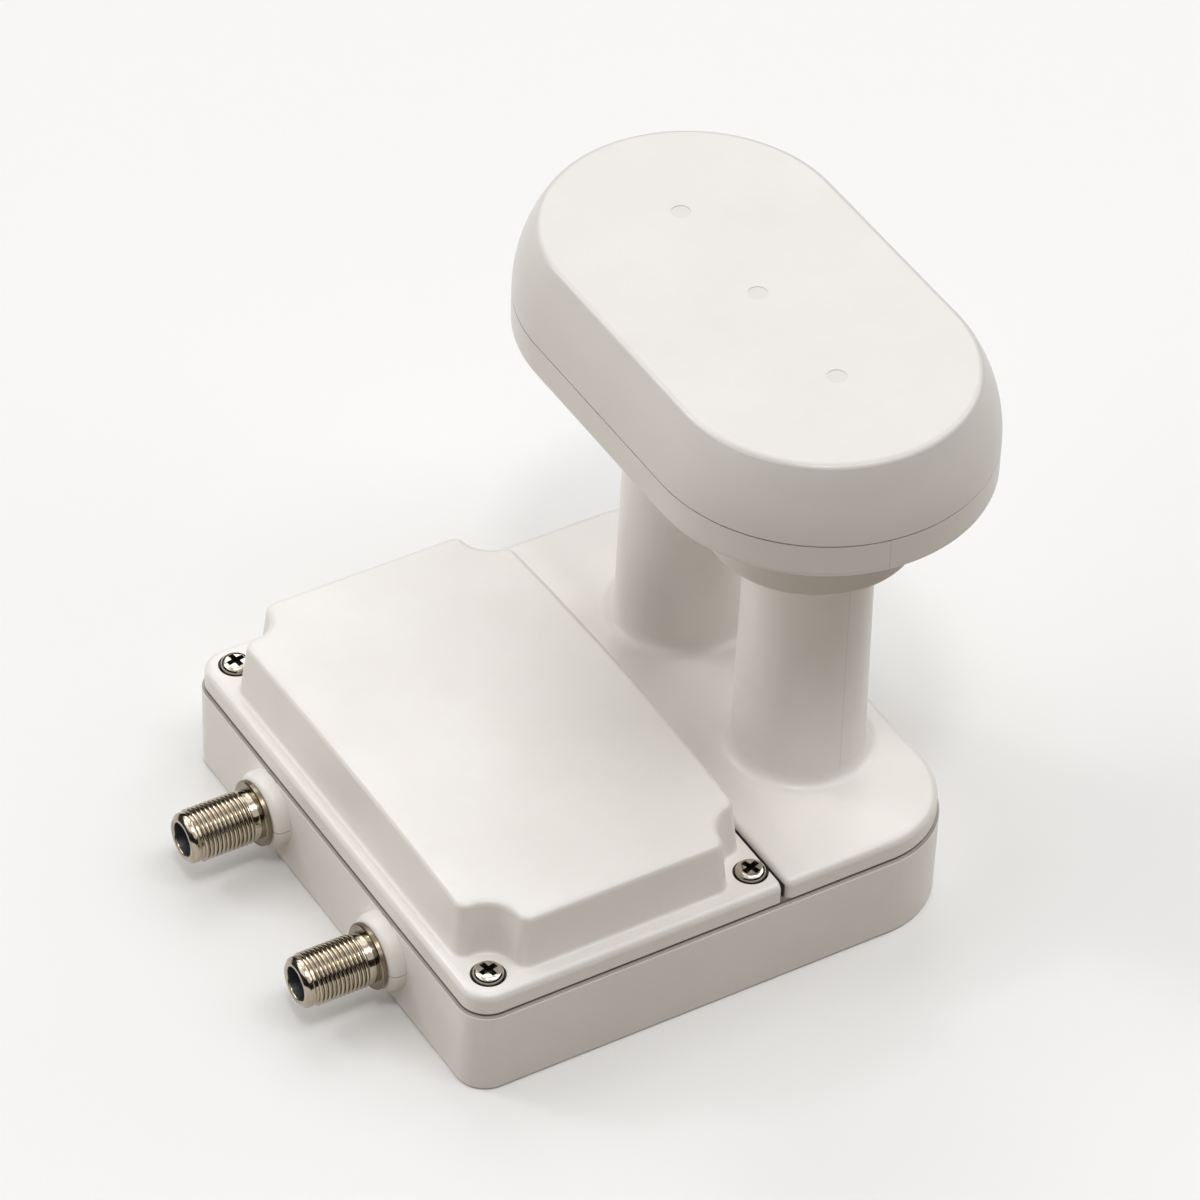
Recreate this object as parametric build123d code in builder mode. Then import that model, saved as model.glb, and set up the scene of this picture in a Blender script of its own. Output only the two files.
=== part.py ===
"""Satellite LNB with two feeds under one oval radome, lying on the flat back of its housing.

Frame: +X runs from the connector face to the horn end, +Y to the left of that, +Z up along the
horns. The origin is the centre of the underside. Sizes are in millimetres.
"""

from build123d import *
from math import radians, tan
import os

os.makedirs("parts", exist_ok=True)

# Housing
body_length = 97.6
body_width = 97.8
front_corner_radius = 5.5
horn_corner_radius = 16.5
tub_height = 16.6
tub_wall = 2.4
tub_floor = 2.2
tub_draft = 0.5
tub_bottom_edge = 0.5
rim_bevel = 0.35
seam_gap = 0.5
cover_inset = 0.5
cover_thickness = 4.0
cover_edge_radius = 1.5
cover_plate = 2.2
cover_corner_radius = 1.6
lid_end_radius = 0.5
rear_cover_length = 37.6
joint_gap = 0.9

# Raised panel of the front lid
panel_front_inset = 2.5
panel_side_inset = 3.1
panel_joint_inset = 2.0
panel_height = 10.0
panel_crown = 1.5
panel_draft = 5.0
panel_edge_radius = 1.2
panel_foot_radius = 0.7
panel_joint_bow = 0.8
panel_wall = 2.2
scoop_radius = 5.0
scoop_turn_radius = 2.2

# Shares of a screw head that shape its cross recess
recess_arm_share = 1.2
recess_width_share = 0.28
recess_depth_share = 0.57
head_dome_share = 0.42

# Screws of the front lid
lid_screw_front_margin = 5.8
lid_screw_joint_margin = 3.0
lid_screw_side_margin = 5.7
lid_screw_head_radius = 2.8
lid_screw_head_height = 2.1
lid_screw_shank_radius = 1.45
lid_screw_length = 13.0
lid_recess_depth = 0.9
lid_recess_clearance = 0.25
lid_boss_radius = 4.2
screw_pad_radius = 3.0

# Screws of the rear cover, driven from below
cover_screw_joint_margin = 5.8
cover_screw_horn_margin = 11.8
cover_screw_side_margin = 6.4
cover_screw_head_radius = 2.6
cover_screw_head_height = 1.9
cover_screw_shank_radius = 1.15
cover_screw_recess_depth = 2.6
cover_pilot_roof = 1.0
cover_boss_radius = 3.8

# Clearances
sliding_clearance = 0.3
thread_clearance = 0.05
hole_clearance = 0.3
pilot_end_gap = 1.0

# Seals
seal_groove_width = 1.2
seal_groove_depth = 1.0
seal_side_clearance = 0.1

# Feeds
feed_horn_margin = 17.5
feed_spacing = 38.6
guide_radius = 8.75
guide_wall = 0.85
neck_length = 47.9
neck_wall = 1.0
neck_taper = 0.6
neck_fillet_radius = 2.5
collar_height = 15.0
collar_gap = 2.4
collar_floor = 1.8
collar_wall = 1.6
collar_edge_radius = 0.8
horn_socket_length = 3.2
horn_wall = 1.0
horn_socket_wall = 2.0
horn_side_gap = 0.9
horn_rise = 3.3
horn_flange_gap = 1.4
horn_flange_thickness = 1.5
choke_depth = 5.0

# Oval cap
cap_straight_extra = 1.8
cap_radius = 29.9
cap_lead = 0.4
tray_height = 6.75
tray_wall = 2.0
tray_floor = 2.0
tray_edge_radius = 1.5
cap_seam_gap = 0.3
cap_groove_width = 0.8
cap_groove_depth = 0.8
dome_height = 13.75
cap_side_radius = 26.1
cap_edge_radius = 1.3
dome_wall = 2.0
dome_lip_length = 2.8
dome_lip_wall = 1.4
dome_lip_root = 1.5
mark_radius = 1.7
mark_depth = 0.1
mark_spacing = 24.4

# Coaxial connectors
connector_y = 19.85
connector_z = 9.7
boss_radius = 6.85
boss_height = 2.9
boss_edge_radius = 1.5
washer_radius = 5.9
washer_thickness = 1.1
washer_edge = 0.2
barrel_radius = 4.76
barrel_length = 13.3
barrel_chamfer = 0.75
nose_length = 1.9
nose_radius = 4.5
barrel_neck_length = 2.1
barrel_neck_radius = 4.5
shank_radius = 3.9
mouth_radius = 3.0
mouth_recess = 2.1
mouth_chamfer = 0.25
contact_radius = 0.9
contact_bore_radius = 0.45
contact_shoulder = 1.0
pin_radius = 0.5
pin_reach = 4.2
insulator_lip = 0.9
insulator_mouth_radius = 0.6
insulator_tail_radius = 1.25
connector_rear_wall = 2.6

# Cast chassis and electronics
chassis_side_margin = 10.9
chassis_horn_margin = 4.8
chassis_corner_radius = 7.0
chassis_floor = 1.6
chassis_front_wall = 3.0
chassis_wall = 2.0
chassis_ledge = 1.8
chassis_front_radius = 2.0
board_thickness = 1.2
backshort_wall = 1.65
block_height = 6.0
block_plate = 2.2
block_wall = 1.8
block_post_radius = 2.9
block_screw_margin = 3.7
block_screw_head_radius = 2.25
block_screw_head_height = 1.5
block_screw_shank_radius = 1.15
can_joint_gap = 1.2
can_side_gap = 1.7
can_headroom = 3.7
can_sheet = 0.5
can_corner_radius = 1.5
can_front_gap = 0.9
can_notch = 3.0
tongue_reach = 6.0
tongue_side_margin = 4.0
tongue_thickness = 1.3
lap_seal_width = 2.5
lap_seal_thickness = 0.5
lap_seal_edge = 0.4
lap_seal_end_gap = 1.0

# Components on the board: length, width and height, then places along it and across it. The
# converters and crystals are placed from the can's back wall, the others from the board's front edge
transistor_size = (2.0, 1.3, 0.9)
transistor_step = 2.2
transistor_gap = 4.1
converter_size = (4.0, 4.0, 0.9)
converter_spots = [(-10.0, -14.0), (-10.0, 14.0)]
switch_size = (6.0, 6.0, 1.0)
switch_spots = [(21.1, 0.0)]
regulator_size = (6.5, 6.1, 2.3)
regulator_spots = [(9.1, -8.0), (9.1, 8.0)]
capacitor_size = (3.2, 1.6, 1.5)
capacitor_rows = (16.0, 21.0)
capacitor_lines = (-12.0, -9.0, 9.0, 12.0)
crystal_size = (3.2, 2.5, 0.8)
crystal_spots = [(-10.0, -6.0), (-10.0, 6.0)]
component_edge = 0.15
inductor_radius = 2.6
inductor_height = 3.0
inductor_edge = 0.3
inductor_rows = (11.1, 25.1)
inductor_lines = (-25.0, 25.0)

# Places along the housing, worked out from the sizes above
front_x = -body_length / 2
horn_x = body_length / 2
side_y = body_width / 2
cover_front_x = horn_x - rear_cover_length
joint_x = cover_front_x - joint_gap
inner_front_x = front_x + tub_wall
panel_west = front_x + cover_inset + panel_front_inset
panel_east = joint_x - panel_joint_inset
panel_half = side_y - cover_inset - panel_side_inset
chassis_front_inner_x = inner_front_x + chassis_front_wall
chassis_horn_x = horn_x - chassis_horn_margin
chassis_half_width = side_y - chassis_side_margin
pocket_horn_x = chassis_horn_x - chassis_wall
pocket_half = chassis_half_width - chassis_wall
pocket_radius = chassis_corner_radius - chassis_wall
board_front_x = chassis_front_inner_x + sliding_clearance
board_horn_x = pocket_horn_x - sliding_clearance
board_half = pocket_half - sliding_clearance
board_radius = pocket_radius - sliding_clearance
block_x = cover_front_x + cover_plate
tongue_half_width = chassis_half_width - tongue_side_margin
can_front_x = board_front_x + can_front_gap
can_x = cover_front_x - tongue_reach - can_joint_gap
can_half_width = board_half - can_side_gap
boss_face_x = front_x - boss_height
washer_face_x = boss_face_x - washer_thickness
mouth_x = washer_face_x - barrel_length

# Heights
lid_z = tub_height + seam_gap
cover_top_z = lid_z + cover_thickness
tongue_z = lid_z - lap_seal_thickness - tongue_thickness
panel_top_z = cover_top_z + panel_height
head_seat_z = cover_top_z - lid_recess_depth
lid_screw_tip_z = head_seat_z - lid_screw_length
cover_pilot_z = cover_top_z - cover_pilot_roof
chassis_floor_z = tub_floor + chassis_floor
board_top_z = connector_z - pin_radius
board_z = board_top_z - board_thickness
block_top_z = board_top_z + block_height
can_top_z = panel_top_z - panel_wall - can_headroom
neck_top_z = cover_top_z + neck_length
collar_floor_z = neck_top_z + collar_floor
tube_top_z = collar_floor_z + horn_socket_length
tray_bottom_z = neck_top_z + collar_height
tray_floor_z = tray_bottom_z + tray_floor
flange_top_z = tray_floor_z + horn_flange_thickness
horn_top_z = flange_top_z + horn_rise
tray_top_z = tray_bottom_z + tray_height
dome_bottom_z = tray_top_z + cap_seam_gap
cap_top_z = dome_bottom_z + dome_height

# Feeds, and the radii that follow from their guides and their spacing
feed_x = horn_x - feed_horn_margin
feed_y = feed_spacing / 2
feed_spots = [(feed_x, -feed_y), (feed_x, feed_y)]
cap_x = feed_x - cap_lead
tube_radius = guide_radius + guide_wall
neck_bore_radius = tube_radius + sliding_clearance
neck_top_radius = neck_bore_radius + neck_wall
neck_foot_radius = neck_top_radius + neck_taper
collar_radius = feed_y - collar_gap / 2
horn_outer_radius = collar_radius - collar_wall - horn_side_gap
horn_aperture_radius = horn_outer_radius - horn_wall
horn_flange_radius = feed_y - horn_flange_gap / 2
tray_hole_radius = horn_outer_radius + sliding_clearance
cap_straight = feed_spacing + cap_straight_extra

# Screw places
lid_screw_spots = [
    (x, side * (side_y - lid_screw_side_margin))
    for x in (front_x + lid_screw_front_margin, joint_x - lid_screw_joint_margin)
    for side in (-1, 1)
]
cover_screw_spots = [
    (x, side * (side_y - cover_screw_side_margin))
    for x in (cover_front_x + cover_screw_joint_margin, horn_x - cover_screw_horn_margin)
    for side in (-1, 1)
]
block_screw_spots = [
    (x, step * (board_half - block_screw_margin))
    for x in (block_x + block_screw_margin, board_horn_x - block_screw_margin)
    for step in (-1, 0, 1)
]


def body_outline(z, inset, x_from, x_to, joint_radius=0.0):
    """Plan outline of the housing, inset all round and cut to a stretch of its length."""
    half = side_y - inset
    front = max(front_x + inset, x_from)
    back = min(horn_x - inset, x_to)
    front_radius = joint_radius if x_from > front_x else front_corner_radius - inset
    back_radius = joint_radius if x_to < horn_x else horn_corner_radius - inset
    with BuildSketch(Plane.XY.offset(z)) as outline:
        with Locations(((front + back) / 2, 0)):
            Rectangle(back - front, 2 * half)
        corners = outline.vertices().group_by(Axis.X)
        if front_radius > 0:
            fillet(corners[0], front_radius)
        corners = outline.vertices().group_by(Axis.X)
        if back_radius > 0:
            fillet(corners[-1], back_radius)
    return outline.sketch


def whole_outline(z, inset):
    """Plan outline of the whole housing, inset all round."""
    return body_outline(z, inset, front_x, horn_x)


def screw(head_radius, head_height, shank_radius, length):
    """Pan-head cross-recess screw pointing down, with the underside of its head at z = 0."""
    dome = head_height * head_dome_share
    arm = head_radius * recess_arm_share
    slot = head_radius * recess_width_share
    dome_radius = (head_radius**2 + dome**2) / (2 * dome)
    with BuildPart() as one:
        with BuildSketch(Plane.XZ):
            with BuildLine():
                Polyline((0, head_height), (0, -length), (shank_radius / 2, -length))
                Line((shank_radius / 2, -length), (shank_radius, -length + shank_radius))
                Line((shank_radius, -length + shank_radius), (shank_radius, 0))
                Line((shank_radius, 0), (head_radius, 0))
                Line((head_radius, 0), (head_radius, head_height - dome))
                RadiusArc((head_radius, head_height - dome), (0, head_height), -dome_radius)
            make_face()
        revolve(axis=Axis.Z)
        with BuildSketch(Plane.XY.offset(head_height)):
            Rectangle(arm, slot)
            Rectangle(slot, arm)
        extrude(amount=-head_height * recess_depth_share, mode=Mode.SUBTRACT)
    return one.part


def panel_plan(z, inset):
    """Plan of the raised panel: bowed end at the joint and a round scoop at each screw."""
    west = panel_west + inset
    east = panel_east - inset
    half = panel_half - inset
    with BuildSketch(Plane.XY.offset(z)) as plan:
        with BuildLine():
            Line((west, half), (west, -half))
            Line((west, -half), (east, -half))
            ThreePointArc((east, -half), (east + panel_joint_bow, 0), (east, half))
            Line((east, half), (west, half))
        make_face()
        with Locations(*lid_screw_spots):
            Circle(scoop_radius + inset, mode=Mode.SUBTRACT)
        fillet(plan.vertices(), scoop_turn_radius)
    return plan.sketch


def panel(z, inset, height, drop):
    """Drafted panel with its scooped corners, from z up to the crowned surface less a drop."""
    edge_z = panel_top_z - drop
    with BuildPart() as block:
        with BuildSketch(Plane.XY.offset(z)):
            add(panel_plan(0, inset))
        with BuildSketch(Plane.XY.offset(z + height)):
            add(panel_plan(0, inset + height * tan(radians(panel_draft))))
        loft(ruled=True)
        with BuildSketch(Plane.YZ.offset(front_x)):
            with BuildLine():
                Line((-side_y, z - 1), (side_y, z - 1))
                Line((side_y, z - 1), (side_y, edge_z))
                ThreePointArc((side_y, edge_z), (0, edge_z + panel_crown), (-side_y, edge_z))
                Line((-side_y, edge_z), (-side_y, z - 1))
            make_face()
        extrude(amount=body_length, mode=Mode.INTERSECT)
    return block.part


def oval(z, inset):
    """Stadium outline of the cap at a height, inset all round."""
    with BuildSketch(Plane.XY.offset(z)) as outline:
        with Locations((cap_x, 0)):
            SlotCenterToCenter(cap_straight, 2 * (cap_radius - inset), rotation=90)
    return outline.sketch


def dome_half(plane, inset, bottom_z, top_z):
    """Half section of the cap's arched side, from its centre line out."""
    outer = cap_radius - inset
    arc_radius = cap_side_radius - inset
    rise = top_z - dome_bottom_z
    top_radius = outer - (arc_radius - (arc_radius**2 - rise**2) ** 0.5)
    with BuildSketch(plane) as half:
        with BuildLine():
            Line((cap_x, bottom_z), (cap_x + outer, bottom_z))
            if bottom_z < dome_bottom_z:
                Line((cap_x + outer, bottom_z), (cap_x + outer, dome_bottom_z))
            RadiusArc((cap_x + outer, dome_bottom_z), (cap_x + top_radius, top_z), -arc_radius)
            Line((cap_x + top_radius, top_z), (cap_x, top_z))
            Line((cap_x, top_z), (cap_x, bottom_z))
        make_face()
    return half.sketch


def oval_dome(inset, bottom_z, top_z):
    """Body with the cap's arched side: the half section turned about each end and drawn between them."""
    half_straight = cap_straight / 2
    with BuildPart() as body:
        for side in (-1, 1):
            end = Plane.XZ.offset(side * half_straight)
            revolve(dome_half(end, inset, bottom_z, top_z), axis=Axis((cap_x, end.origin.Y, 0), (0, 0, 1)))
        extrude(dome_half(Plane.XZ.offset(-half_straight), inset, bottom_z, top_z), amount=cap_straight)
        mirror(about=Plane.YZ.offset(cap_x))
    return body.part


def finish(part, name):
    """Label a finished piece and write it."""
    part.label = name
    export_step(part, f"parts/{name}.step")


# Tub: drafted rounded box, bevelled rim, screw bosses and two round connector bosses
foot_inset = tub_height * tan(radians(tub_draft))
with BuildPart() as base_tub:
    with BuildSketch():
        add(whole_outline(0, foot_inset))
    extrude(amount=tub_height, taper=-tub_draft)
    fillet(base_tub.faces().sort_by(Axis.Z)[0].edges(), tub_bottom_edge)
    chamfer(base_tub.faces().sort_by(Axis.Z)[-1].edges(), rim_bevel)
    for side in (-1, 1):
        with BuildSketch(Plane.YZ.offset(front_x + tub_wall / 2)):
            with Locations((side * connector_y, connector_z)):
                Circle(boss_radius)
        extrude(amount=-boss_height - tub_wall / 2)
    fillet(base_tub.faces().filter_by(Plane.YZ).group_by(Axis.X)[0].edges(), boss_edge_radius)
    extrude(whole_outline(tub_floor, tub_wall), amount=tub_height, mode=Mode.SUBTRACT)
    with BuildSketch(Plane.XY.offset(tub_floor)):
        with Locations(*lid_screw_spots):
            Circle(lid_boss_radius)
        with Locations(*cover_screw_spots):
            Circle(cover_boss_radius)
    extrude(amount=tub_height - tub_floor)
    with BuildSketch(Plane.XY.offset(tub_height)):
        add(whole_outline(0, (tub_wall - seal_groove_width) / 2))
        add(whole_outline(0, (tub_wall + seal_groove_width) / 2), mode=Mode.SUBTRACT)
    extrude(amount=-seal_groove_depth, mode=Mode.SUBTRACT)
    with BuildSketch(Plane.XY.offset(tub_height)):
        with Locations(*lid_screw_spots):
            Circle(lid_screw_shank_radius + thread_clearance)
    extrude(amount=lid_screw_tip_z - pilot_end_gap - tub_height, mode=Mode.SUBTRACT)
    with BuildSketch():
        with Locations(*cover_screw_spots):
            Circle(cover_screw_shank_radius + hole_clearance)
    extrude(amount=tub_height, mode=Mode.SUBTRACT)
    with BuildSketch():
        with Locations(*cover_screw_spots):
            Circle(cover_screw_head_radius + hole_clearance)
    extrude(amount=cover_screw_recess_depth, mode=Mode.SUBTRACT)
    for side in (-1, 1):
        with BuildSketch(Plane.YZ.offset(boss_face_x)):
            with Locations((side * connector_y, connector_z)):
                Circle(shank_radius + hole_clearance)
        extrude(amount=boss_height + tub_wall, mode=Mode.SUBTRACT)
finish(base_tub.part, "base_tub")

# Rim seal: one cord that fills the groove in the tub's rim and meets both covers
with BuildPart() as rim_seal:
    with BuildSketch(Plane.XY.offset(tub_height - seal_groove_depth)):
        add(whole_outline(0, (tub_wall - seal_groove_width) / 2 + seal_side_clearance))
        add(whole_outline(0, (tub_wall + seal_groove_width) / 2 - seal_side_clearance), mode=Mode.SUBTRACT)
    extrude(amount=seal_groove_depth + seam_gap)
finish(rim_seal.part, "rim_seal")

# Front lid: flange with a raised, hollow panel that is scooped out round its four screws
panel_block = panel(cover_top_z, 0, panel_height + 2 * panel_crown, 0)
panel_hollow = panel(lid_z, panel_wall, panel_top_z + panel_crown - lid_z, panel_wall)
panel_foot = [edge.center() for edge in panel_block.faces().sort_by(Axis.Z)[0].edges()]
with BuildPart() as front_lid:
    extrude(body_outline(lid_z, cover_inset, front_x, joint_x + cover_thickness), amount=cover_thickness)
    rim = front_lid.faces().sort_by(Axis.Z)[-1].edges().sort_by(Axis.X)
    fillet(rim[:-1], cover_edge_radius)
    split(bisect_by=Plane.YZ.offset(joint_x), keep=Keep.BOTTOM)
    joint_edges = front_lid.faces().sort_by(Axis.X)[-1].edges()
    fillet([edge for edge in joint_edges if edge.center().Z > lid_z + 0.01], lid_end_radius)
    add(panel_block)
    fillet(front_lid.faces().sort_by(Axis.Z)[-1].edges(), panel_edge_radius)
    foot = [edge for edge in front_lid.edges() if min((edge.center() - p).length for p in panel_foot) < 0.01]
    fillet(foot, panel_foot_radius)
    with BuildSketch(Plane.XY.offset(tub_height)):
        with Locations(*lid_screw_spots):
            Circle(screw_pad_radius)
    extrude(amount=seam_gap)
    add(panel_hollow, mode=Mode.SUBTRACT)
    with BuildSketch(Plane.XY.offset(tub_height)):
        with Locations(*lid_screw_spots):
            Circle(lid_screw_shank_radius + hole_clearance)
    extrude(amount=cover_top_z - tub_height, mode=Mode.SUBTRACT)
    with BuildSketch(Plane.XY.offset(head_seat_z)):
        with Locations(*lid_screw_spots):
            Circle(lid_screw_head_radius + lid_recess_clearance)
    extrude(amount=lid_recess_depth, mode=Mode.SUBTRACT)
finish(front_lid.part, "front_lid")

# Lid screws: driven from above, down into the tub's bosses
lid_screw = screw(lid_screw_head_radius, lid_screw_head_height, lid_screw_shank_radius, lid_screw_length)
with BuildPart() as lid_screws:
    with Locations(*[(x, y, head_seat_z) for x, y in lid_screw_spots]):
        add(lid_screw)
finish(lid_screws.part, "lid_screws")

# Rear cover: plate moulded in one with the two tapered necks, and a tongue that laps under the lid
with BuildPart() as rear_cover:
    extrude(
        body_outline(lid_z, cover_inset, cover_front_x, horn_x, cover_corner_radius),
        amount=cover_thickness,
    )
    fillet(rear_cover.faces().sort_by(Axis.Z)[-1].edges(), cover_edge_radius)
    extrude(
        body_outline(lid_z, tub_wall, cover_front_x + cover_plate, horn_x, cover_corner_radius),
        amount=cover_thickness - cover_plate,
        mode=Mode.SUBTRACT,
    )
    with Locations(*[(x, y, cover_top_z) for x, y in feed_spots]):
        Cone(neck_foot_radius, neck_top_radius, neck_length, align=(Align.CENTER, Align.CENTER, Align.MIN))
    circles = rear_cover.edges().filter_by(GeomType.CIRCLE)
    fillet([e for e in circles if abs(e.radius - neck_foot_radius) < 0.01], neck_fillet_radius)
    with BuildSketch(Plane.XY.offset(lid_z)):
        with Locations(*feed_spots):
            Circle(neck_foot_radius)
    extrude(amount=cover_thickness)
    with BuildSketch(Plane.XY.offset(tub_height)):
        with Locations(*cover_screw_spots):
            Circle(screw_pad_radius)
    extrude(amount=cover_top_z - cover_plate - tub_height)
    with BuildSketch(Plane.XY.offset(tongue_z)):
        with Locations((cover_front_x - tongue_reach, 0)):
            Rectangle(tongue_reach + cover_plate, 2 * tongue_half_width, align=(Align.MIN, Align.CENTER))
    extrude(amount=tongue_thickness)
    with BuildSketch(Plane.XY.offset(tongue_z)):
        with Locations((cover_front_x, 0)):
            Rectangle(cover_plate, 2 * tongue_half_width, align=(Align.MIN, Align.CENTER))
    extrude(amount=lid_z - tongue_z)
    with BuildSketch(Plane.XY.offset(lid_z)):
        with Locations(*feed_spots):
            Circle(neck_bore_radius)
    extrude(amount=neck_top_z - lid_z, mode=Mode.SUBTRACT)
    with BuildSketch(Plane.XY.offset(tub_height)):
        with Locations(*cover_screw_spots):
            Circle(cover_screw_shank_radius + thread_clearance)
    extrude(amount=cover_pilot_z - tub_height, mode=Mode.SUBTRACT)
finish(rear_cover.part, "rear_cover")

# Cover screws: driven from below, up into the cover's blind pads
cover_screw_length = cover_pilot_z - cover_screw_recess_depth - pilot_end_gap
cover_screw = screw(
    cover_screw_head_radius, cover_screw_head_height, cover_screw_shank_radius, cover_screw_length
)
with BuildPart() as cover_screws:
    with Locations(*[(x, y, cover_screw_recess_depth) for x, y in cover_screw_spots]):
        add(cover_screw, rotation=(180, 0, 0))
finish(cover_screws.part, "cover_screws")

# Lap seal: flat strip between the cover's tongue and the lid
lap_seal_length = 2 * (tongue_half_width - lap_seal_end_gap)
with BuildPart() as lap_seal:
    with Locations((joint_x - lap_seal_edge, 0, lid_z)):
        Box(lap_seal_width, lap_seal_length, lap_seal_thickness, align=(Align.MAX, Align.CENTER, Align.MAX))
finish(lap_seal.part, "lap_seal")


def board_outline(z, x_from, x_to, half, front_radius, horn_radius):
    """Rectangle with its own corner radii at the front and at the horn end."""
    with BuildSketch(Plane.XY.offset(z)) as outline:
        with Locations(((x_from + x_to) / 2, 0)):
            Rectangle(x_to - x_from, 2 * half)
        fillet(outline.vertices().group_by(Axis.X)[0], front_radius)
        fillet(outline.vertices().group_by(Axis.X)[-1], horn_radius)
    return outline.sketch


# Cast chassis: tray with a ledge for the board, back-short rings under the feeds and screw posts
with BuildPart() as chassis:
    extrude(
        board_outline(
            tub_floor,
            inner_front_x,
            chassis_horn_x,
            chassis_half_width,
            chassis_front_radius,
            chassis_corner_radius,
        ),
        amount=tongue_z - tub_floor,
    )
    extrude(
        board_outline(
            board_z, chassis_front_inner_x, pocket_horn_x, pocket_half, chassis_front_radius, pocket_radius
        ),
        amount=tongue_z - tub_floor,
        mode=Mode.SUBTRACT,
    )
    extrude(
        board_outline(
            chassis_floor_z,
            chassis_front_inner_x + chassis_ledge,
            pocket_horn_x - chassis_ledge,
            pocket_half - chassis_ledge,
            chassis_front_radius,
            pocket_radius - chassis_ledge,
        ),
        amount=tongue_z - tub_floor,
        mode=Mode.SUBTRACT,
    )
    with BuildSketch(Plane.XY.offset(chassis_floor_z)):
        with Locations(*feed_spots):
            Circle(guide_radius + backshort_wall)
        with Locations(*block_screw_spots):
            Circle(block_post_radius)
    extrude(amount=board_z - chassis_floor_z)
    with BuildSketch(Plane.XY.offset(chassis_floor_z)):
        with Locations(*feed_spots):
            Circle(guide_radius)
        with Locations(*block_screw_spots):
            Circle(block_screw_shank_radius + thread_clearance)
    extrude(amount=board_z - chassis_floor_z, mode=Mode.SUBTRACT)
    for side in (-1, 1):
        with BuildSketch(Plane.YZ.offset(inner_front_x)):
            with Locations((side * connector_y, connector_z)):
                Circle(shank_radius + thread_clearance)
        extrude(amount=chassis_front_wall, mode=Mode.SUBTRACT)
finish(chassis.part, "chassis")

# Circuit board on the chassis ledge, clamped under the waveguide block
with BuildPart() as circuit_board:
    extrude(
        board_outline(board_z, board_front_x, board_horn_x, board_half, chassis_front_radius, board_radius),
        amount=board_thickness,
    )
    with BuildSketch(Plane.XY.offset(board_z)):
        with Locations(*block_screw_spots):
            Circle(block_screw_shank_radius + hole_clearance)
    extrude(amount=board_thickness, mode=Mode.SUBTRACT)
finish(circuit_board.part, "circuit_board")

# Waveguide block: casting with the two round guides that stand in the necks
with BuildPart() as waveguide_block:
    extrude(
        board_outline(board_top_z, block_x, board_horn_x, board_half, chassis_front_radius, board_radius),
        amount=block_height,
    )
    extrude(
        board_outline(
            board_top_z,
            block_x + block_wall,
            board_horn_x - block_wall,
            board_half - block_wall,
            chassis_front_radius / 2,
            board_radius - block_wall,
        ),
        amount=block_height - block_plate,
        mode=Mode.SUBTRACT,
    )
    with BuildSketch(Plane.XY.offset(board_top_z)):
        with Locations(*feed_spots):
            Circle(guide_radius + backshort_wall)
        with Locations(*block_screw_spots):
            Circle(block_post_radius)
    extrude(amount=block_height)
    with BuildSketch(Plane.XY.offset(block_top_z)):
        with Locations(*feed_spots):
            Circle(tube_radius)
    extrude(amount=tube_top_z - block_top_z)
    with BuildSketch(Plane.XY.offset(board_top_z)):
        with Locations(*feed_spots):
            Circle(guide_radius)
    extrude(amount=tube_top_z - board_top_z, mode=Mode.SUBTRACT)
    with BuildSketch(Plane.XY.offset(board_top_z)):
        with Locations(*block_screw_spots):
            Circle(block_screw_shank_radius + hole_clearance)
    extrude(amount=block_height, mode=Mode.SUBTRACT)
finish(waveguide_block.part, "waveguide_block")

# Block screws: clamp the block and the board down onto the chassis posts
block_screw_length = block_top_z - chassis_floor_z - pilot_end_gap
block_screw = screw(
    block_screw_head_radius, block_screw_head_height, block_screw_shank_radius, block_screw_length
)
with BuildPart() as block_screws:
    with Locations(*[(x, y, block_top_z) for x, y in block_screw_spots]):
        add(block_screw)
finish(block_screws.part, "block_screws")

# Folded screening can over the amplifier and switch half of the board
with BuildPart() as shield_can:
    extrude(
        board_outline(board_top_z, can_front_x, can_x, can_half_width, can_corner_radius, can_corner_radius),
        amount=can_top_z - board_top_z,
    )
    fillet(shield_can.faces().sort_by(Axis.Z)[-1].edges(), can_sheet)
    extrude(
        board_outline(
            board_top_z,
            can_front_x + can_sheet,
            can_x - can_sheet,
            can_half_width - can_sheet,
            can_corner_radius - can_sheet,
            can_corner_radius - can_sheet,
        ),
        amount=can_top_z - can_sheet - board_top_z,
        mode=Mode.SUBTRACT,
    )
    with Locations(*[(can_front_x, side * connector_y, board_top_z) for side in (-1, 1)]):
        Box(
            can_notch,
            can_notch,
            can_notch / 2,
            align=(Align.CENTER, Align.CENTER, Align.MIN),
            mode=Mode.SUBTRACT,
        )
finish(shield_can.part, "shield_can")


def components(name, size, start_x, spots):
    """One node of like packages that stand on the board, placed from a starting x."""
    with BuildPart() as group:
        with Locations(*[(start_x + x, y, board_top_z) for x, y in spots]):
            Box(*size, align=(Align.CENTER, Align.CENTER, Align.MIN))
        chamfer(group.faces().group_by(Axis.Z)[-1].edges(), component_edge)
    finish(group.part, name)


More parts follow.
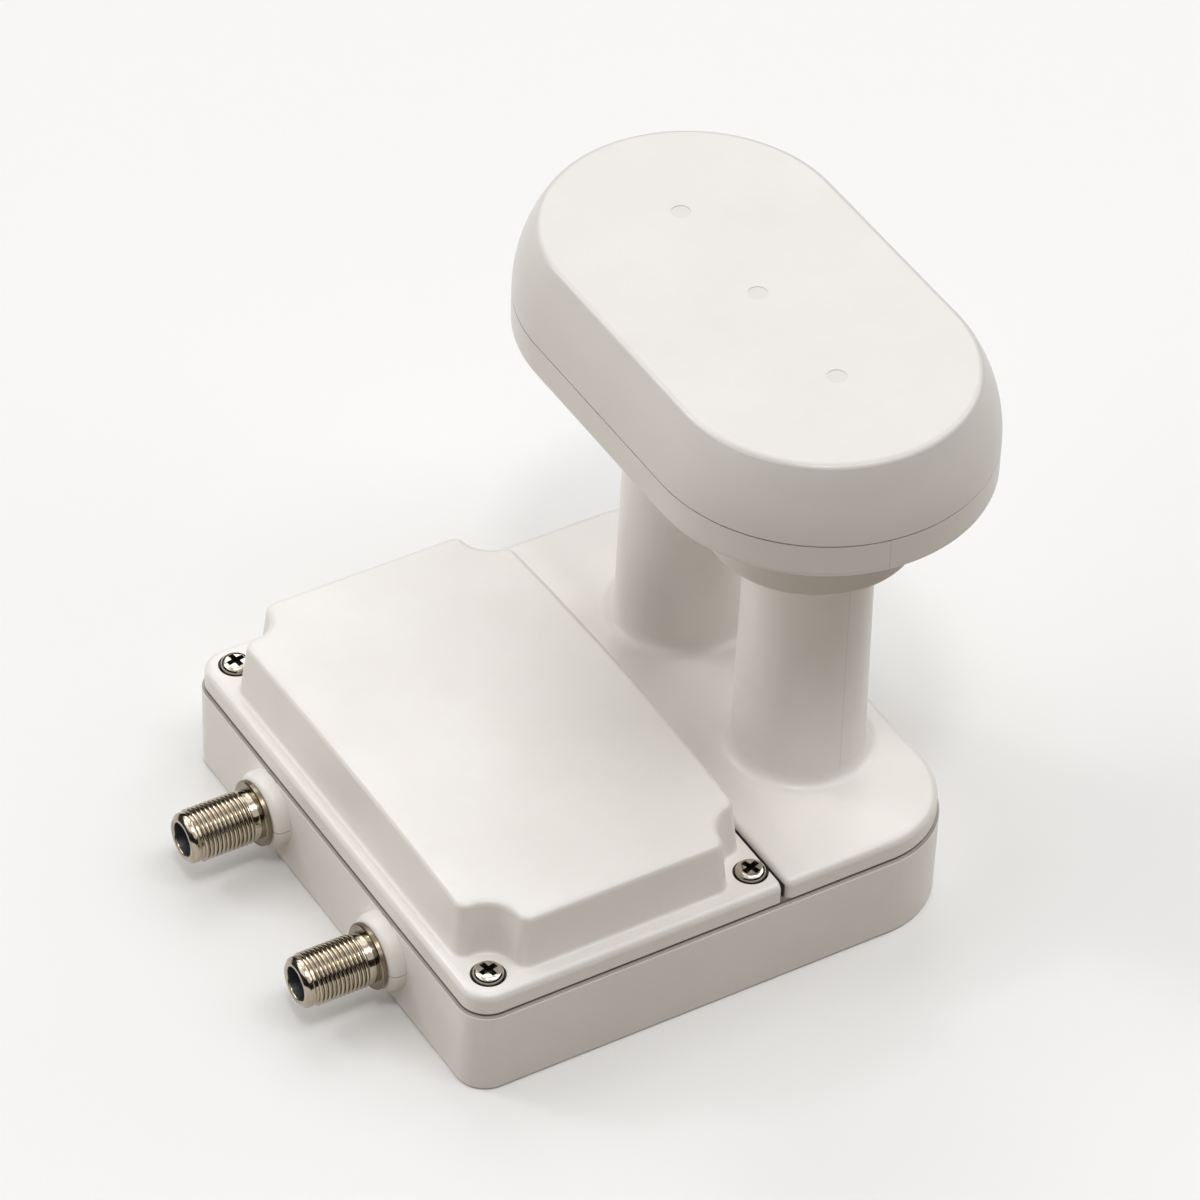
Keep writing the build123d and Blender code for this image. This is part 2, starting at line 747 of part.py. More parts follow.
# Amplifier transistors stand in pairs by each guide's two probes, inside the block's cavities
before_guide = -guide_radius - transistor_gap
beside_guide_y = feed_y - guide_radius - transistor_gap
transistor_spots = [
    (before_guide, side * feed_y + step) for side in (-1, 1) for step in (-transistor_step, transistor_step)
]
transistor_spots += [
    (step, side * beside_guide_y) for side in (-1, 1) for step in (-transistor_step, transistor_step)
]
capacitor_spots = [(x, y) for x in capacitor_rows for y in capacitor_lines]
components("lna_transistors", transistor_size, feed_x, transistor_spots)
components("converter_chips", converter_size, can_x, converter_spots)
components("switch_chip", switch_size, board_front_x, switch_spots)
components("regulators", regulator_size, board_front_x, regulator_spots)
components("capacitors", capacitor_size, board_front_x, capacitor_spots)
components("crystals", crystal_size, can_x, crystal_spots)
with BuildPart() as inductors:
    with Locations(*[(board_front_x + x, y, board_top_z) for x in inductor_rows for y in inductor_lines]):
        Cylinder(inductor_radius, inductor_height, align=(Align.CENTER, Align.CENTER, Align.MIN))
    chamfer(inductors.edges().filter_by(GeomType.CIRCLE), inductor_edge)
finish(inductors.part, "inductors")

# Feeds: each horn screws onto its guide and clamps the tray, the collar and the neck in one stack
sides = {"near": -1, "far": 1}
for name, side in sides.items():
    axis = Axis((feed_x, side * feed_y, 0), (0, 0, 1))
    with BuildPart() as horn_collar:
        with BuildSketch(Plane.XY.offset(neck_top_z)):
            with Locations((feed_x, side * feed_y)):
                Circle(collar_radius)
        extrude(amount=tray_bottom_z - neck_top_z)
        fillet(horn_collar.faces().sort_by(Axis.Z)[0].edges(), collar_edge_radius)
        with BuildSketch(Plane.XY.offset(collar_floor_z)):
            with Locations((feed_x, side * feed_y)):
                Circle(collar_radius - collar_wall)
        extrude(amount=tray_bottom_z - collar_floor_z, mode=Mode.SUBTRACT)
        with BuildSketch(Plane.XY.offset(neck_top_z)):
            with Locations((feed_x, side * feed_y)):
                Circle(neck_bore_radius)
        extrude(amount=collar_floor, mode=Mode.SUBTRACT)
    finish(horn_collar.part, f"horn_collar_{name}")

    socket_radius = tube_radius + thread_clearance
    socket_outer_radius = socket_radius + horn_socket_wall
    choke_top_z = flange_top_z + choke_depth
    with BuildPart() as feed_horn:
        with BuildSketch(Plane.XZ.offset(-side * feed_y)):
            with BuildLine():
                Polyline(
                    (feed_x + socket_radius, collar_floor_z),
                    (feed_x + socket_outer_radius, collar_floor_z),
                    (feed_x + socket_outer_radius, tube_top_z),
                    (feed_x + horn_outer_radius, tray_bottom_z),
                    (feed_x + horn_outer_radius, tray_floor_z),
                    (feed_x + horn_flange_radius, tray_floor_z),
                    (feed_x + horn_flange_radius, choke_top_z),
                    (feed_x + horn_flange_radius - horn_wall, choke_top_z),
                    (feed_x + horn_flange_radius - horn_wall, flange_top_z),
                    (feed_x + horn_outer_radius, flange_top_z),
                    (feed_x + horn_outer_radius, horn_top_z),
                    (feed_x + horn_aperture_radius, horn_top_z),
                    (feed_x + horn_aperture_radius, tray_bottom_z),
                    (feed_x + guide_radius, tube_top_z),
                    (feed_x + socket_radius, tube_top_z),
                    close=True,
                )
            make_face()
        revolve(axis=axis)
    finish(feed_horn.part, f"feed_horn_{name}")

# Cap tray: oval dish that the horn flanges hold down on the collars
with BuildPart() as cap_tray:
    extrude(oval(tray_bottom_z, 0), amount=tray_height)
    fillet(cap_tray.faces().sort_by(Axis.Z)[0].edges(), tray_edge_radius)
    extrude(oval(tray_floor_z, tray_wall), amount=tray_height - tray_floor, mode=Mode.SUBTRACT)
    with BuildSketch(Plane.XY.offset(tray_bottom_z)):
        with Locations(*feed_spots):
            Circle(tray_hole_radius)
    extrude(amount=tray_floor, mode=Mode.SUBTRACT)
    with BuildSketch(Plane.XY.offset(tray_top_z)):
        add(oval(0, (tray_wall - cap_groove_width) / 2))
        add(oval(0, (tray_wall + cap_groove_width) / 2), mode=Mode.SUBTRACT)
    extrude(amount=-cap_groove_depth, mode=Mode.SUBTRACT)
finish(cap_tray.part, "cap_tray")

# Cap seal: cord in the tray's groove, under the dome's rim
with BuildPart() as cap_seal:
    with BuildSketch(Plane.XY.offset(tray_top_z - cap_groove_depth)):
        add(oval(0, (tray_wall - cap_groove_width) / 2 + seal_side_clearance))
        add(oval(0, (tray_wall + cap_groove_width) / 2 - seal_side_clearance), mode=Mode.SUBTRACT)
    extrude(amount=cap_groove_depth + cap_seam_gap)
finish(cap_seal.part, "cap_seal")

# Cap dome: arched side, flat top with three round gate marks, and a lip that drops inside the tray
dome_shell = oval_dome(0, dome_bottom_z, cap_top_z)
dome_hollow = oval_dome(dome_wall, dome_bottom_z, cap_top_z - dome_wall)
with BuildPart() as cap_dome:
    add(dome_shell)
    fillet(cap_dome.faces().sort_by(Axis.Z)[-1].edges(), cap_edge_radius)
    add(dome_hollow, mode=Mode.SUBTRACT)
    lip_inset = tray_wall + sliding_clearance
    with BuildSketch(Plane.XY.offset(dome_bottom_z)):
        add(oval(0, dome_wall / 2))
        add(oval(0, lip_inset + dome_lip_wall), mode=Mode.SUBTRACT)
    extrude(amount=dome_lip_root)
    with BuildSketch(Plane.XY.offset(dome_bottom_z)):
        add(oval(0, lip_inset))
        add(oval(0, lip_inset + dome_lip_wall), mode=Mode.SUBTRACT)
    extrude(amount=-dome_lip_length)
    with BuildSketch(Plane.XY.offset(cap_top_z)):
        with Locations(*[(cap_x, step * mark_spacing) for step in (-1, 0, 1)]):
            Circle(mark_radius)
    extrude(amount=-mark_depth, mode=Mode.SUBTRACT)
finish(cap_dome.part, "cap_dome")

# Coaxial connectors: turned body, washer, insulator and centre contact on one line
thread_end = barrel_length - barrel_neck_length
connector_length = chassis_front_inner_x - mouth_x
bore_end = connector_length - connector_rear_wall
contact_front = mouth_recess + insulator_lip
contact_end = bore_end - contact_shoulder
for name, side in sides.items():
    section = Plane((mouth_x, side * connector_y, connector_z), x_dir=(1, 0, 0), z_dir=(0, -1, 0))
    axis = Axis(section.origin, (1, 0, 0))
    with BuildPart() as f_connector:
        with BuildSketch(section):
            with BuildLine():
                Polyline(
                    (0, mouth_radius + mouth_chamfer),
                    (0, nose_radius - barrel_chamfer),
                    (barrel_chamfer, nose_radius),
                    (nose_length, nose_radius),
                    (nose_length, barrel_radius),
                    (thread_end, barrel_radius),
                    (thread_end, barrel_neck_radius),
                    (barrel_length, barrel_neck_radius),
                    (barrel_length, shank_radius),
                    (connector_length, shank_radius),
                    (connector_length, insulator_tail_radius + thread_clearance),
                    (bore_end, insulator_tail_radius + thread_clearance),
                    (bore_end, mouth_radius),
                    (mouth_chamfer, mouth_radius),
                    close=True,
                )
            make_face()
        revolve(axis=axis)
    finish(f_connector.part, f"f_connector_{name}")

    with BuildPart() as connector_washer:
        with BuildSketch(Plane.YZ.offset(washer_face_x)):
            with Locations((side * connector_y, connector_z)):
                Circle(washer_radius)
                Circle(shank_radius + thread_clearance, mode=Mode.SUBTRACT)
        extrude(amount=washer_thickness)
        rims = connector_washer.edges().filter_by(GeomType.CIRCLE)
        chamfer([e for e in rims if abs(e.radius - washer_radius) < 0.01], washer_edge)
    finish(connector_washer.part, f"connector_washer_{name}")

    with BuildPart() as connector_insulator:
        with BuildSketch(section):
            with BuildLine():
                Polyline(
                    (mouth_recess, insulator_mouth_radius + contact_radius / 2),
                    (mouth_recess, mouth_radius - thread_clearance),
                    (bore_end, mouth_radius - thread_clearance),
                    (bore_end, insulator_tail_radius),
                    (connector_length, insulator_tail_radius),
                    (connector_length, pin_radius + thread_clearance),
                    (contact_end, pin_radius + thread_clearance),
                    (contact_end, contact_radius + thread_clearance),
                    (contact_front, contact_radius + thread_clearance),
                    (contact_front, insulator_mouth_radius),
                    close=True,
                )
            make_face()
        revolve(axis=axis)
    finish(connector_insulator.part, f"connector_insulator_{name}")

    with BuildPart() as connector_contact:
        with BuildSketch(section):
            with BuildLine():
                Polyline(
                    (contact_front, contact_bore_radius),
                    (contact_front, contact_radius),
                    (contact_end, contact_radius),
                    (contact_end, pin_radius),
                    (connector_length + pin_reach, pin_radius),
                    (connector_length + pin_reach, 0),
                    (contact_end - contact_shoulder, 0),
                    (contact_end - contact_shoulder, contact_bore_radius),
                    close=True,
                )
            make_face()
        revolve(axis=axis)
    finish(connector_contact.part, f"connector_contact_{name}")
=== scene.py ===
import math

import bmesh
import bpy
from mathutils import Euler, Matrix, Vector


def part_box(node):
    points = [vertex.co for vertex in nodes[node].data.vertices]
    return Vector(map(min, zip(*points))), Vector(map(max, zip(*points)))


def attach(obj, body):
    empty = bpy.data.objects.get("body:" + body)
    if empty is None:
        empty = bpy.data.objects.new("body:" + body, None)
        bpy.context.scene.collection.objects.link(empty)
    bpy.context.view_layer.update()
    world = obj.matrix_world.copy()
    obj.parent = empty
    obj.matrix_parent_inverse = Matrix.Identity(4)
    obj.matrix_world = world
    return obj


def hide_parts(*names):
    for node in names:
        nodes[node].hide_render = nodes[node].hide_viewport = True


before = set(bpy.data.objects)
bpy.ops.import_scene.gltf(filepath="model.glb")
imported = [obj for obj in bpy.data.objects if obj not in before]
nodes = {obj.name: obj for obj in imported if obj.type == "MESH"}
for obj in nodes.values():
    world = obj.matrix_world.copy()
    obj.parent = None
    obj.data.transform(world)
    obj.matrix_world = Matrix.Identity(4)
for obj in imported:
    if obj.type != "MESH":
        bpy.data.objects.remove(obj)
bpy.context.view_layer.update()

MM = 0.001
bpy.ops.object.select_all(action="DESELECT")


# Camera at the photograph's angle

camera_data = bpy.data.cameras.new("camera")
camera_data.lens = 215.3458
camera_data.sensor_width = 36
camera_data.clip_end = 50
camera = bpy.data.objects.new("camera", camera_data)
bpy.context.collection.objects.link(camera)
camera.location = (-0.47730302, -0.76378428, 0.83951316)
camera_turn = (48.77915766, -1.73139673, -30.63686561)
camera.rotation_euler = Euler([math.radians(angle) for angle in camera_turn], "XYZ")
bpy.context.scene.camera = camera
bpy.context.scene.view_settings.view_transform = "Standard"


# Node helpers

def socket_group(name, inputs, outputs):
    """A shader group with named inputs (name, default) and outputs (name, socket type)."""
    group = bpy.data.node_groups.new(name, "ShaderNodeTree")
    for label, default in inputs:
        kind = "NodeSocketVector" if isinstance(default, tuple) else "NodeSocketFloat"
        socket = group.interface.new_socket(label, in_out="INPUT", socket_type=kind)
        socket.default_value = default
    for label, kind in outputs:
        group.interface.new_socket(label, in_out="OUTPUT", socket_type=kind)
    return group, group.nodes.new("NodeGroupInput"), group.nodes.new("NodeGroupOutput")


def put(tree, kind, links=None, **values):
    """One node, with its settings by name and links to its inputs by socket name or number."""
    node = tree.nodes.new(kind)
    for key, value in values.items():
        setattr(node, key, value)
    for key, source in (links or {}).items():
        if isinstance(source, (int, float, tuple)):
            node.inputs[key].default_value = source
        else:
            tree.links.new(source, node.inputs[key])
    return node


def sums(tree, operation, a, b):
    """One step of arithmetic on two sockets or numbers."""
    return put(tree, "ShaderNodeMath", {0: a, 1: b}, operation=operation).outputs[0]


def spread(tree, value, low, high, to_low=0.0, to_high=1.0):
    """A value's range from low to high, spread over a new range."""
    links = {"Value": value, "From Min": low, "From Max": high, "To Min": to_low, "To Max": to_high}
    return put(tree, "ShaderNodeMapRange", links, clamp=True).outputs["Result"]


def noise(tree, scale, detail):
    """Noise on object coordinates, in features per metre."""
    place = put(tree, "ShaderNodeTexCoord").outputs["Object"]
    links = {"Vector": place, "Scale": scale, "Detail": detail}
    return put(tree, "ShaderNodeTexNoise", links).outputs["Fac"]


# Shared effects

grain_group, grain_in, grain_out = socket_group(
    "MouldedGrain",
    [("Grain Size", 3200.0), ("Mottle Size", 70.0)],
    [("Tone", "NodeSocketFloat"), ("Height", "NodeSocketFloat")],
)
grain_fine = noise(grain_group, grain_in.outputs["Grain Size"], 2.0)
grain_broad = noise(grain_group, grain_in.outputs["Mottle Size"], 4.0)
grain_tone = sums(grain_group, "MULTIPLY_ADD", grain_fine, 0.35)
grain_tone.node.inputs[2].default_value = 0.0
grain_group.links.new(sums(grain_group, "MULTIPLY", grain_broad, 0.65), grain_tone.node.inputs[2])
grain_group.links.new(spread(grain_group, grain_tone, 0.3, 0.7), grain_out.inputs["Tone"])
grain_group.links.new(grain_fine, grain_out.inputs["Height"])

turned_group, turned_in, turned_out = socket_group(
    "TurnedLines",
    [("Line Size", 9000.0)],
    [("Streak", "NodeSocketFloat"), ("Height", "NodeSocketFloat")],
)
turned_place = put(turned_group, "ShaderNodeTexCoord").outputs["Object"]
turned_squeeze = {"Vector": turned_place, "Scale": (1.0, 0.03, 0.03)}
turned_flat = put(turned_group, "ShaderNodeMapping", turned_squeeze).outputs["Vector"]
turned_links = {"Vector": turned_flat, "Scale": turned_in.outputs["Line Size"], "Detail": 3.0}
turned_noise = put(turned_group, "ShaderNodeTexNoise", turned_links).outputs["Fac"]
turned_group.links.new(spread(turned_group, turned_noise, 0.3, 0.7), turned_out.inputs["Streak"])
turned_group.links.new(turned_noise, turned_out.inputs["Height"])

dust_group, dust_in, dust_out = socket_group(
    "SettledDust",
    [("Amount", 0.3)],
    [("Mask", "NodeSocketFloat")],
)
dust_normal = put(dust_group, "ShaderNodeNewGeometry").outputs["Normal"]
dust_up = put(dust_group, "ShaderNodeSeparateXYZ", {0: dust_normal}).outputs["Z"]
dust_patch = spread(dust_group, noise(dust_group, 260.0, 5.0), 0.4, 0.7)
dust_mask = sums(dust_group, "MULTIPLY", spread(dust_group, dust_up, 0.2, 0.95), dust_patch)
dust_share = sums(dust_group, "MULTIPLY", dust_mask, dust_in.outputs["Amount"])
dust_group.links.new(dust_share, dust_out.inputs["Mask"])

# A thin band mask: the moulds' parting lines, and painted shade in the seam and the joint.
line_group, line_in, line_out = socket_group(
    "PartingLineAndGapShade",
    [("Across", (1.0, 0.0, 0.0)), ("Offset", 0.0), ("Side", (0.0, -1.0, 0.0)), ("Side Offset", 0.0),
     ("Lowest Z", 0.0), ("Width", 0.00008)],
    [("Mask", "NodeSocketFloat")],
)
line_edge = 0.04 * MM
line_place = put(line_group, "ShaderNodeTexCoord").outputs["Object"]


def line_distance(direction, offset):
    """How far past an offset a place lies in a direction."""
    links = {0: line_place, 1: direction}
    along = put(line_group, "ShaderNodeVectorMath", links, operation="DOT_PRODUCT")
    return sums(line_group, "SUBTRACT", along.outputs["Value"], offset)


line_across = line_distance(line_in.outputs["Across"], line_in.outputs["Offset"])
line_reach = sums(line_group, "ABSOLUTE", line_across, 0.0)
line_inside = sums(line_group, "SUBTRACT", line_in.outputs["Width"], line_reach)
line_thin = spread(line_group, line_inside, -line_edge, line_edge)
line_beyond = line_distance(line_in.outputs["Side"], line_in.outputs["Side Offset"])
line_height = put(line_group, "ShaderNodeSeparateXYZ", {0: line_place}).outputs["Z"]
line_side = sums(line_group, "GREATER_THAN", line_beyond, 0.0)
line_over = sums(line_group, "GREATER_THAN", line_height, line_in.outputs["Lowest Z"])
line_kept = sums(line_group, "MULTIPLY", line_side, line_over)
line_group.links.new(sums(line_group, "MULTIPLY", line_thin, line_kept), line_out.inputs["Mask"])

# A round mask: the dome's gate marks, and painted shade round and on the lid screws.
mark_group, mark_in, mark_out = socket_group(
    "RoundMark",
    [("Centre X", 0.0), ("Centre Y", 0.0), ("Lowest Z", 0.0), ("Highest Z", 1.0),
     ("Radius", 0.0017)],
    [("Mask", "NodeSocketFloat")],
)
mark_edge = 0.08 * MM
mark_place = put(mark_group, "ShaderNodeTexCoord").outputs["Object"]
mark_parts = put(mark_group, "ShaderNodeSeparateXYZ", {0: mark_place}).outputs
mark_x = sums(mark_group, "SUBTRACT", mark_parts["X"], mark_in.outputs["Centre X"])
mark_y = sums(mark_group, "SUBTRACT", mark_parts["Y"], mark_in.outputs["Centre Y"])
mark_x_square = sums(mark_group, "MULTIPLY", mark_x, mark_x)
mark_y_square = sums(mark_group, "MULTIPLY", mark_y, mark_y)
mark_reach = sums(mark_group, "SQRT", sums(mark_group, "ADD", mark_x_square, mark_y_square), 0.0)
mark_inside = sums(mark_group, "SUBTRACT", mark_in.outputs["Radius"], mark_reach)
mark_soft = spread(mark_group, mark_inside, -mark_edge, mark_edge)
mark_over = sums(mark_group, "GREATER_THAN", mark_parts["Z"], mark_in.outputs["Lowest Z"])
mark_under = sums(mark_group, "LESS_THAN", mark_parts["Z"], mark_in.outputs["Highest Z"])
mark_high = sums(mark_group, "MULTIPLY", mark_over, mark_under)
mark_group.links.new(sums(mark_group, "MULTIPLY", mark_soft, mark_high), mark_out.inputs["Mask"])


# Finishes

def finish_material(name, metallic=0.0, **sockets):
    """A new material with its shader's sockets set by name, with _ for a space."""
    material = bpy.data.materials.new(name)
    material.use_nodes = True
    tree = material.node_tree
    surface = tree.nodes["Principled BSDF"]
    surface.inputs["Metallic"].default_value = metallic
    for key, value in sockets.items():
        surface.inputs[key.replace("_", " ")].default_value = value
    return material, tree, surface


def effect(tree, group, **values):
    """A shared effect placed in a material with its own values."""
    node = tree.nodes.new("ShaderNodeGroup")
    node.node_tree = group
    for key, value in values.items():
        node.inputs[key.replace("_", " ")].default_value = value
    return node


def two_tone(tree, factor, dark, light):
    """A colour between two tones of one finish."""
    links = {0: factor, 6: (*dark, 1.0), 7: (*light, 1.0)}
    return put(tree, "ShaderNodeMix", links, data_type="RGBA").outputs[2]


def relief(tree, height, strength, distance):
    """A surface normal raised by a height, at most by a distance in metres."""
    links = {"Height": height, "Strength": strength, "Distance": distance}
    return put(tree, "ShaderNodeBump", links).outputs["Normal"]


dust_tone = (0.80, 0.78, 0.75, 1.0)
skin_roughness = 0.2


def moulded(name, dark, light, rough_low, rough_high, grain_size, depth, dust=0.2, skin=0.0):
    """Moulded plastic: faint grain, uneven tone, a glossy skin, and dust on what faces up."""
    material, tree, surface = finish_material(name, Coat_Weight=skin, Coat_Roughness=skin_roughness)
    grain = effect(tree, grain_group, Grain_Size=grain_size)
    colour = two_tone(tree, grain.outputs["Tone"], dark, light)
    dusty = effect(tree, dust_group, Amount=dust)
    links = {0: dusty.outputs["Mask"], 6: colour, 7: dust_tone}
    colour = put(tree, "ShaderNodeMix", links, data_type="RGBA").outputs[2]
    tree.links.new(colour, surface.inputs["Base Color"])
    rough = spread(tree, grain.outputs["Tone"], 0.0, 1.0, rough_high, rough_low)
    tree.links.new(rough, surface.inputs["Roughness"])
    tree.links.new(relief(tree, grain.outputs["Height"], 0.35, depth), surface.inputs["Normal"])
    return material


def plated(name, dark, light, rough_low, rough_high, lines, depth):
    """Plated turned metal: fine lines round the axis, and tone that follows them."""
    material, tree, surface = finish_material(name, metallic=1.0)
    turned = effect(tree, turned_group, Line_Size=lines)
    colour = two_tone(tree, turned.outputs["Streak"], dark, light)
    tree.links.new(colour, surface.inputs["Base Color"])
    rough = spread(tree, turned.outputs["Streak"], 0.0, 1.0, rough_high, rough_low)
    tree.links.new(rough, surface.inputs["Roughness"])
    tree.links.new(relief(tree, turned.outputs["Height"], 0.3, depth), surface.inputs["Normal"])
    return material


# Housing and cap are one off-white plastic in two tones: the housing's is set lighter and the cap's
# darker, painted light on the housing and painted shade on the cap.
housing_plastic = moulded(
    "housing_plastic", (0.85, 0.813, 0.77), (0.895, 0.863, 0.823), 0.28, 0.4,
    grain_size=3000.0, depth=0.00003, dust=0.1, skin=0.12)
cap_plastic = moulded(
    "cap_plastic", (0.712, 0.678, 0.637), (0.748, 0.716, 0.676), 0.27, 0.35,
    grain_size=3600.0, depth=0.00001, dust=0.1, skin=0.14)
# The collar's tone, darker than the housing's plastic, is painted shade from under the cap.
collar_plastic = moulded(
    "collar_plastic", (0.67, 0.63, 0.585), (0.715, 0.675, 0.63), 0.38, 0.5,
    grain_size=3000.0, depth=0.00005)
washer_plate = plated(
    "washer_plate", (0.20, 0.16, 0.11), (0.30, 0.25, 0.185), 0.14, 0.24,
    lines=6000.0, depth=0.00001)
nickel_plate = plated(
    "nickel_plate", (0.34, 0.285, 0.215), (0.52, 0.46, 0.37), 0.08, 0.17,
    lines=9000.0, depth=0.00001)
screw_plate = plated(
    "screw_plate", (0.48, 0.43, 0.36), (0.68, 0.63, 0.56), 0.08, 0.18,
    lines=5000.0, depth=0.00001)
# Near-black metal in the screws' cross recesses: painted shade in the recess.
recess_painted_shade = plated(
    "recess_painted_shade", (0.05, 0.045, 0.038), (0.12, 0.105, 0.09), 0.3, 0.45,
    lines=5000.0, depth=0.00001)
# Near-black metal on the connectors' bore walls: painted shade in the bore.
bore_painted_shade = plated(
    "bore_painted_shade", (0.04, 0.042, 0.045), (0.08, 0.083, 0.088), 0.4, 0.55,
    lines=5000.0, depth=0.00001)
seal_rubber = moulded(
    "seal_rubber", (0.22, 0.18, 0.14), (0.28, 0.235, 0.19), 0.7, 0.85,
    grain_size=2500.0, depth=0.00006, dust=0.1)
insulator_resin = moulded(
    "insulator_resin", (0.17, 0.185, 0.20), (0.25, 0.27, 0.29), 0.35, 0.5,
    grain_size=2500.0, depth=0.00003, dust=0.0)
component_resin = moulded(
    "component_resin", (0.02, 0.02, 0.022), (0.05, 0.05, 0.052), 0.45, 0.6,
    grain_size=4000.0, depth=0.00003, dust=0.1)
board_mask = moulded(
    "board_mask", (0.02, 0.14, 0.055), (0.035, 0.2, 0.085), 0.3, 0.45,
    grain_size=900.0, depth=0.00002, dust=0.1)
cast_aluminium = plated(
    "cast_aluminium", (0.55, 0.56, 0.57), (0.74, 0.75, 0.76), 0.42, 0.6,
    lines=1500.0, depth=0.00008)
tinned_sheet = plated(
    "tinned_sheet", (0.62, 0.62, 0.61), (0.8, 0.8, 0.79), 0.26, 0.4,
    lines=800.0, depth=0.00002)
contact_brass = plated(
    "contact_brass", (0.66, 0.48, 0.2), (0.86, 0.68, 0.36), 0.2, 0.32,
    lines=7000.0, depth=0.00001)

node_finish = {
    "base_tub": housing_plastic, "front_lid": housing_plastic, "rear_cover": housing_plastic,
    "horn_collar_near": collar_plastic, "horn_collar_far": collar_plastic,
    "cap_tray": cap_plastic, "cap_dome": cap_plastic,
    "f_connector_near": nickel_plate, "f_connector_far": nickel_plate,
    "connector_washer_near": washer_plate, "connector_washer_far": washer_plate,
    "lid_screws": screw_plate, "cover_screws": screw_plate, "block_screws": screw_plate,
    "rim_seal": seal_rubber, "lap_seal": seal_rubber, "cap_seal": seal_rubber,
    "chassis": cast_aluminium, "waveguide_block": cast_aluminium,
    "feed_horn_near": cast_aluminium, "feed_horn_far": cast_aluminium,
    "circuit_board": board_mask, "shield_can": tinned_sheet, "crystals": tinned_sheet,
    "connector_insulator_near": insulator_resin, "connector_insulator_far": insulator_resin,
    "connector_contact_near": contact_brass, "connector_contact_far": contact_brass,
}


def with_marks(base, name, effects, colour, share):
    """A copy of a finish with a darker tone where the effects' masks are."""
    material = base.copy()
    material.name = name
    tree = material.node_tree
    surface = next(node for node in tree.nodes if node.type == "BSDF_PRINCIPLED")
    mask = 0.0
    for group, values in effects:
        mask = sums(tree, "ADD", mask, effect(tree, group, **values).outputs["Mask"])
    plain = surface.inputs["Base Color"].links[0].from_socket
    links = {0: sums(tree, "MULTIPLY", mask, share), 6: plain, 7: (*colour, 1.0)}
    marked = put(tree, "ShaderNodeMix", links, data_type="RGBA").outputs[2]
    tree.links.new(marked, surface.inputs["Base Color"])
    return material


# Marks: gate marks on the dome, parting lines of the moulds, and painted shade in narrow gaps, in
# the screws' counterbores and on the screw heads' sides

def round_marks(places, lowest, highest, radius):
    """One round mark at each place, between two heights."""
    values = {"Lowest Z": lowest, "Highest Z": highest, "Radius": radius}
    return [(mark_group, {"Centre X": x, "Centre Y": y, **values}) for x, y in places]


def thin_line(across, offset, side, side_offset, **values):
    """A line where a place lies at an offset in one direction and past another in a second."""
    places = {"Across": across, "Offset": offset, "Side": side, "Side Offset": side_offset}
    return line_group, {**places, **values}


port_z = 9.7 * MM
flange_z = 21.1 * MM
joint_gap = 0.9 * MM
tub_front_x = -48.82 * MM
boss_start_x = -48.95 * MM
screw_x = (-43.0 * MM, 7.3 * MM)
screw_y = (-43.2 * MM, 43.2 * MM)
screw_places = [(x, y) for x in screw_x for y in screw_y]
mark_spacing = 24.4 * MM
dome_low, dome_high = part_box("cap_dome")
lid_low, lid_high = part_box("front_lid")

# Each tone, and how much of it a mark takes
parting_tone, parting_share = (0.42, 0.385, 0.35), 0.4
# One tone for the real parting line on the tub's bosses and for painted shade on the tub's rim
# ledge under the seam.
tub_line_and_shade_tone, tub_line_and_shade_share = (0.25, 0.215, 0.18), 0.78
# Near-black painted shade in the lid's screw counterbores.
recess_shade_tone = (0.035, 0.03, 0.025)
# Near-black painted shade on the end faces in the joint between lid and rear cover.
lid_end_shade_tone = (0.06, 0.05, 0.042)
cover_end_shade_tone = (0.05, 0.042, 0.035)
painted_shade_share = 0.9
# Painted shade and dark reflection on the sides of the lid screws' heads.
head_side_shade_tone, head_side_shade_share = (0.17, 0.14, 0.105), 0.6
dome_mark_tone, dome_mark_share = (0.60, 0.57, 0.535), 0.34

dome_middle = (dome_low.x + dome_high.x) / 2
dome_places = [(dome_middle, step * mark_spacing) for step in (-1, 0, 1)]
dome_marks = round_marks(dome_places, dome_high.z - 1.0 * MM, 1.0, 1.7 * MM)
# Painted shade in the counterbores round the lid screws.
recess_shade = round_marks(screw_places, 19.8 * MM, flange_z - 0.07 * MM, 3.1 * MM)
# Painted shade and dark reflection on the screw heads' sides.
head_side_shade = round_marks(screw_places, 20.0 * MM, 21.72 * MM, 3.0 * MM)
boss_line = thin_line((0, 0, 1), port_z, (-1, 0, 0), -boss_start_x)
# Painted shade on the top of the tub's rim, in the seam's gap under the lid.
rim_shade = thin_line((0, 0, 1), lid_low.z, (1, 0, 0), tub_front_x, Width=0.27 * MM)
# Painted shade on the lid's end face and the rear cover's front face, in the joint.
lid_end_shade = thin_line((1, 0, 0), lid_high.x, (0, 0, -1), 0.35 * MM - flange_z, Width=0.1 * MM)
cover_x = lid_high.x + joint_gap
cover_end_shade = thin_line((1, 0, 0), cover_x, (0, 0, -1), 1.15 * MM - flange_z, Width=0.2 * MM)
neck_line = thin_line(
    (0.9945, 0.1045, 0), 29.11 * MM, (0.1045, -0.9945, 0), 31.5 * MM,
    Lowest_Z=22.6 * MM, Width=0.05 * MM)
tray_line = thin_line((1, 0, 0), 26.2 * MM, (0, -1, 0), 44 * MM, Lowest_Z=85 * MM)

